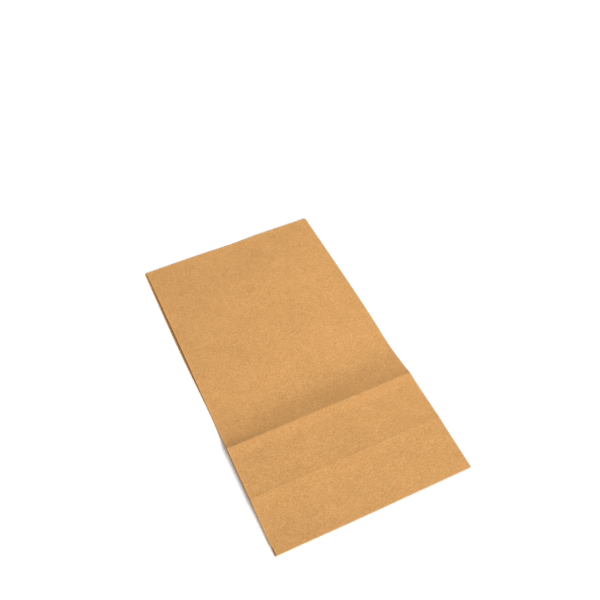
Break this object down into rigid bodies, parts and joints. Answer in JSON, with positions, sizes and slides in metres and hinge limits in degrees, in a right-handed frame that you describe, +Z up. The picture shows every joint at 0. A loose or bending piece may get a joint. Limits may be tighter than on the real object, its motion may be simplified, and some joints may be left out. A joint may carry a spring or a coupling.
{
  "type": "paper lunch bag",
  "caption": "Brown kraft paper bag with side gussets, a glued flat bottom and a pinked mouth, folded flat with its bottom tucked under.",
  "frame": {"origin": "centre of the flat bag's footprint, on the surface it lies on", "axes": "+X across the bag, +Y from its closed end to its mouth, +Z up out of the smooth panel"},
  "size_m": [0.1094, 0.2, 0.0034],
  "materials": {
    "kraft_paper": "matte"
  },
  "bodies": {
    "root": {"paper_bag": "kraft_paper"}
  },
  "joints": []
}
